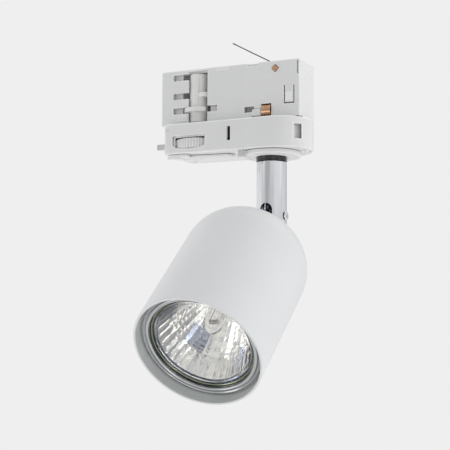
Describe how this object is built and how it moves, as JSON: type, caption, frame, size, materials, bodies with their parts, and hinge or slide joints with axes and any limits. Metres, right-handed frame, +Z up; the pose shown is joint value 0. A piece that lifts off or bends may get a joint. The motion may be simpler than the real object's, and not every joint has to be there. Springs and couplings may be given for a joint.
{
  "type": "track spotlight",
  "caption": "Track spotlight: a clip-in track adapter, a chrome stem that swivels under it, and a white cylindrical head with a reflector lamp that tilts on the stem.",
  "frame": {"origin": "on the stem's swivel axis, at the ledge plane where the adapter's cover meets the underside of the track", "axes": "+Z up along the swivel axis, X along the track, the head faces -Y at rest"},
  "size_m": [0.0878, 0.1162, 0.1827],
  "materials": {
    "white_plastic": "satin white moulding",
    "grey_plastic": "matt light grey moulding",
    "white_paint": "matt white powder coat",
    "chrome": "polished",
    "dark_chrome": "polished dark",
    "steel": "plated",
    "copper": "bare copper",
    "brass": "bare",
    "ceramic": "unglazed",
    "clear_glass": "clear",
    "reflector": "coated facets",
    "live_lead": "insulated",
    "neutral_lead": "insulated"
  },
  "bodies": {
    "adapter": {"track_housing": "white_plastic", "front_plate": "white_plastic", "cover": "white_plastic", "base_plate": "white_plastic", "swivel_bush": "grey_plastic", "swivel_disc": "white_plastic", "base_catch": "grey_plastic", "contact_upper": "copper", "contact_lower": "copper", "contact_neutral": "copper", "contact_carrier": "white_plastic", "earth_spring": "steel", "terminal_block": "grey_plastic", "base_screw_1": "steel", "base_screw_2": "steel", "adapter_lead_live": "live_lead", "adapter_lead_neutral": "neutral_lead"},
    "selector": {"selector_drum": "white_plastic", "selector_wheel": "grey_plastic"},
    "lever": {"lock_lever": "white_plastic", "lever_shaft": "steel", "lock_lug": "white_plastic"},
    "slider": {"release_slider": "grey_plastic"},
    "stem": {"stem_tube": "chrome", "stem_collar": "dark_chrome", "stem_nipple": "steel", "nipple_nut": "steel", "spring_washer": "steel", "stop_washer": "steel", "pivot_screw": "chrome", "pivot_nut": "steel", "tilt_spacer_left": "steel", "tilt_spacer_right": "steel", "stem_lead_live": "live_lead", "stem_lead_neutral": "neutral_lead"},
    "head": {"head_shell": "white_paint", "hinge_tongue": "chrome", "dome_nut": "steel", "holder_bracket": "steel", "bracket_nut": "steel", "lampholder": "ceramic", "contact_clip_left": "brass", "contact_clip_right": "brass", "lamp_base": "ceramic", "lamp_reflector": "reflector", "lamp_glass": "clear_glass", "lamp_capsule": "clear_glass", "lamp_pin_left": "steel", "lamp_pin_right": "steel", "retaining_ring": "chrome", "head_lead_live": "live_lead", "head_lead_neutral": "neutral_lead"}
  },
  "joints": [
    {"name": "stem_pan", "type": "hinge", "parent": "adapter", "child": "stem", "pos_m": [0, 0, -0.0181], "axis": [0, 0, 1], "range_deg": [-165, 165]},
    {"name": "head_tilt", "type": "hinge", "parent": "stem", "child": "head", "pos_m": [0, 0, -0.0478], "axis": [-1, 0, 0], "range_deg": [-49.5, 40.5]},
    {"name": "selector_turn", "type": "hinge", "parent": "adapter", "child": "selector", "pos_m": [-0.0386, -0.0045, -0.0104], "axis": [0, 0, 1], "range_deg": [-180, 90]},
    {"name": "lever_turn", "type": "hinge", "parent": "adapter", "child": "lever", "pos_m": [-0.0229, -0.004, -0.0164], "axis": [0, 0, 1], "range_deg": [-90, 0]},
    {"name": "release_slide", "type": "slide", "parent": "adapter", "child": "slider", "axis": [1, 0, 0], "range_m": [0, 0.0014], "stiffness_N_per_m": 300}
  ]
}
